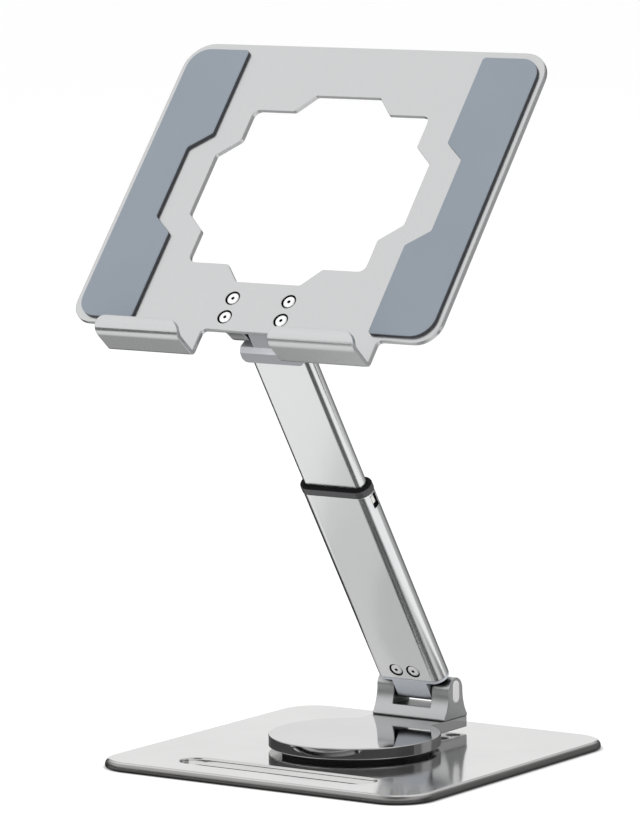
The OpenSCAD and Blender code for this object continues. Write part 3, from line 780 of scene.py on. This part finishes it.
def make_screws(name, spots, place, body, slot, node):
    """Screw heads at each (origin, turn about X in degrees), in the frame of place."""
    head_points, head_faces = screw_head_mesh()
    socket_r = 0.9
    points = []
    faces = []
    for origin, turn in spots:
        to_spot = Matrix.Translation(origin) @ Matrix.Rotation(math.radians(turn), 4, "X")
        add_part(points, faces, [to_spot @ Vector(p) for p in head_points], head_faces)
    piece = add_piece(name, points, faces, place, body, slot, [node])
    axes = [(Vector(origin), Matrix.Rotation(math.radians(turn), 3, "X").col[2]) for origin, turn in spots]
    # The hexagon sockets are painted near black: painted shade in the recess.
    finish_or_shade_faces(piece, "painted_recess_shade", lambda centre, normal: min(
        (centre - origin).cross(axis).length for origin, axis in axes) < socket_r)
    even_shading(piece)


def make_all_screws():
    seat = 1.1
    plate_spots = [((x, y, -seat), 0) for x, y in BRACKET_SCREWS]
    lower_spots = [((x, -OUTER_T / 2 + seat, LOWER_SCREW_Z), 90) for x in (-SCREW_X, SCREW_X)]
    upper_spots = [((x, INNER_T / 2, UPPER_SCREW_Z), -90) for x in (-SCREW_X, SCREW_X)]
    tab_spots = [((x, y, -HINGE_H - 2.85), 180) for x, y in BRACKET_SCREWS]
    make_screws("holder_screw_heads", plate_spots, PLATE, "holder", "bright_steel", "holder_screws")
    make_screws("lower_knuckle_screw_heads", lower_spots, ARM, "lower_arm", "bright_steel",
                "lower_knuckle_screws")
    make_screws("upper_knuckle_screw_heads", upper_spots, ARM, "upper_arm", "bright_steel",
                "upper_knuckle_screws")
    make_screws("lower_bracket_screw_heads", tab_spots, UPRIGHT, "turntable", "dark_steel",
                "lower_bracket_screws")


# ---------------------------------------------------------------- studio


def make_floor():
    radius = 40000
    points, faces = lathe_mesh([(radius, -1), (radius, 0)], 96)
    mesh = bpy.data.meshes.new("floor")
    mesh.from_pydata([Vector(p) * MM for p in points], [], faces)
    floor = bpy.data.objects.new("floor", mesh)
    bpy.context.scene.collection.objects.link(floor)
    material, shader = new_material("floor", (0.45, 0.45, 0.45), 0, 0.9)
    shader.inputs["Emission Color"].default_value = (1, 1, 1, 1)
    shader.inputs["Specular IOR Level"].default_value = 0
    glow_outside_base(material, shader, 0.68)
    mesh.materials.append(material)
    floor.visible_glossy = False


def glow_outside_base(material, shader, strength):
    """The floor's own brightness, which stops at the edge of the base: a painted contact shadow along the base's
    edge.
    """
    nodes, links = material.node_tree.nodes, material.node_tree.links
    corner_r = BASE_CORNER_R * MM
    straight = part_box("base_plate")[1].x - corner_r
    last = nodes.new("ShaderNodeTexCoord").outputs["Object"]
    for operation, value in (("ABSOLUTE", None), ("MULTIPLY", (1, 1, 0)), ("SUBTRACT", (straight, straight, 0)),
                             ("MAXIMUM", (0, 0, 0)), ("LENGTH", None)):
        step = nodes.new("ShaderNodeVectorMath")
        step.operation = operation
        links.new(last, step.inputs[0])
        if value:
            step.inputs[1].default_value = value
        last = step.outputs["Value" if operation == "LENGTH" else "Vector"]
    # Dark from 1 mm inside the base's outline up to full glow 1.5 mm outside it: painted contact shadow.
    links.new(spread(material, last, 0, strength, corner_r - 0.001, corner_r + 0.0015),
              shader.inputs["Emission Strength"])


def make_screen():
    """Low dark screen around the desk, which only the metal's reflections see."""
    material, shader = new_material("screen", (0, 0, 0), 0, 1, Specular_IOR_Level=0, Emission_Strength=0.085)
    shader.inputs["Emission Color"].default_value = (1, 1, 1, 1)
    steps = 60
    radius = 0.38
    low, high = -0.005, 0.10
    first, last = -112, 115
    points = []
    for i in range(steps + 1):
        turn = math.radians(first + (last - first) * i / steps)
        points += [(radius * math.sin(turn), -radius * math.cos(turn), z) for z in (low, high)]
    faces = [(2 * i, 2 * i + 1, 2 * i + 3, 2 * i + 2) for i in range(steps)]
    mesh = bpy.data.meshes.new("screen")
    mesh.from_pydata(points, [], faces)
    mesh.materials.append(material)
    screen = bpy.data.objects.new("screen", mesh)
    bpy.context.scene.collection.objects.link(screen)
    screen.visible_camera = False
    screen.visible_diffuse = False
    screen.visible_shadow = False
    screen.visible_transmission = False


def world_ramp(nodes, links, height, stops):
    """Brightness of the studio by height, from straight down (-1) to straight up (1)."""
    remap = nodes.new("ShaderNodeMapRange")
    remap.inputs["From Min"].default_value = -1
    remap.inputs["From Max"].default_value = 1
    links.new(height, remap.inputs["Value"])
    ramp = nodes.new("ShaderNodeValToRGB")
    elements = ramp.color_ramp.elements
    while len(elements) < len(stops):
        elements.new(0.5)
    for element, (level, tone) in zip(elements, stops):
        element.position = (level + 1) / 2
        element.color = (tone, tone, tone, 1)
    links.new(remap.outputs["Result"], ramp.inputs["Fac"])
    return ramp.outputs["Color"]


def eased(nodes, links, value, low, high):
    """0 below low, 1 above high and smooth between."""
    remap = nodes.new("ShaderNodeMapRange")
    remap.interpolation_type = "SMOOTHSTEP"
    remap.inputs["From Min"].default_value = low
    remap.inputs["From Max"].default_value = high
    links.new(value, remap.inputs["Value"])
    return remap.outputs["Result"]


def blended(nodes, links, factor, first, second):
    """Mix of two tones, each a socket or a colour."""
    mix = nodes.new("ShaderNodeMix")
    mix.data_type = "RGBA"
    links.new(factor, mix.inputs["Factor"])
    for socket, tone in (("A", first), ("B", second)):
        if isinstance(tone, tuple):
            mix.inputs[socket].default_value = tone
        else:
            links.new(tone, mix.inputs[socket])
    return mix.outputs["Result"]


def make_world():
    """White room, dark low down at its left and right, for the metal to show. The camera sees white."""
    world = bpy.data.worlds.new("studio")
    bpy.context.scene.world = world
    world.use_nodes = True
    nodes, links = world.node_tree.nodes, world.node_tree.links
    where = nodes.new("ShaderNodeTexCoord")
    split = nodes.new("ShaderNodeSeparateXYZ")
    links.new(where.outputs["Generated"], split.inputs["Vector"])
    front = world_ramp(nodes, links, split.outputs["Z"], [
        (-1.0, 0.75), (-0.82, 0.86), (-0.68, 1.0), (-0.42, 1.0), (-0.10, 0.98), (0.10, 0.95), (0.30, 0.98),
        (0.57, 0.97), (0.76, 0.94), (0.85, 0.96), (1.0, 0.95)])
    left = world_ramp(nodes, links, split.outputs["Z"], [
        (-1.0, 0.46), (-0.80, 0.43), (-0.72, 0.36), (-0.60, 0.03), (-0.40, 0.01), (0.0, 0.01),
        (0.06, 0.10), (0.20, 0.14), (0.35, 0.50), (0.60, 0.86), (1.0, 0.92)])
    right = world_ramp(nodes, links, split.outputs["Z"], [
        (-1.0, 0.70), (-0.80, 0.78), (-0.56, 0.94), (-0.30, 1.0), (-0.22, 0.50), (-0.17, 0.28),
        (0.0, 0.24), (0.18, 0.22), (0.26, 0.12), (0.42, 0.15), (0.55, 0.35), (0.72, 0.75), (1.0, 0.90)])
    back = blended(nodes, links, eased(nodes, links, split.outputs["X"], -0.35, 0.25), left, right)
    room = blended(nodes, links, eased(nodes, links, split.outputs["Y"], -0.06, 0.16), front, back)
    height = nodes.new("ShaderNodeMath")
    height.operation = "ABSOLUTE"
    links.new(split.outputs["Z"], height.inputs[0])
    mirrored = nodes.new("ShaderNodeCombineXYZ")
    links.new(split.outputs["X"], mirrored.inputs["X"])
    links.new(split.outputs["Y"], mirrored.inputs["Y"])
    links.new(height.outputs[0], mirrored.inputs["Z"])
    direction = where.outputs["Generated"]
    # Behind the stand, beside it at the back, and over and under it
    for vector, middle, low, high, tone in (
            (direction, (-0.554, 0.823, 0.123), 0.970, 0.988, 0.95),
            (mirrored.outputs["Vector"], (0.554, 0.823, 0.123), 0.965, 0.990, 0.42),
            (mirrored.outputs["Vector"], (0.115, -0.365, 0.924), 0.87, 0.94, 0.10)):
        toward = nodes.new("ShaderNodeVectorMath")
        toward.operation = "DOT_PRODUCT"
        links.new(vector, toward.inputs[0])
        toward.inputs[1].default_value = middle
        room = blended(nodes, links, eased(nodes, links, toward.outputs["Value"], low, high), room,
                       (tone, tone, tone, 1))
    rays = nodes.new("ShaderNodeLightPath")
    seen = blended(nodes, links, rays.outputs["Is Camera Ray"], room, (1, 1, 1, 1))
    links.new(seen, nodes["Background"].inputs["Color"])


def area_light(name, place, target, size, power):
    data = bpy.data.lights.new(name, "AREA")
    data.shape = "DISK"
    data.size = size
    data.energy = power
    light = bpy.data.objects.new(name, data)
    light.location = place
    light.rotation_euler = (Vector(target) - Vector(place)).to_track_quat("-Z", "Y").to_euler()
    light.visible_glossy = False
    bpy.context.scene.collection.objects.link(light)


def make_lights():
    centre = (0, 0, 0.15)
    area_light("key", (-1.4, -0.9, 2.2), centre, 1.2, 22)
    area_light("fill", (2.2, 0.3, 1.8), centre, 1.4, 14)


bpy.context.scene.view_settings.view_transform = "Standard"
make_camera()
make_world()
make_lights()
make_floor()
make_screen()
shade_undersides()
paint_cad_nodes()
make_base()
make_turntable()
make_bracket("lower_bracket_body", UPRIGHT, "turntable", "lower_bracket")
make_bracket("upper_bracket_body", HOLDER_BRACKET, "holder", "upper_bracket")
make_pin_caps("lower_pin_cap_faces", UPRIGHT, "turntable", "lower_pin_caps")
make_pin_caps("upper_pin_cap_faces", HOLDER_BRACKET, "holder", "upper_pin_caps")
make_arm()
make_collar()
make_holder_plate()
make_pads()
make_all_screws()
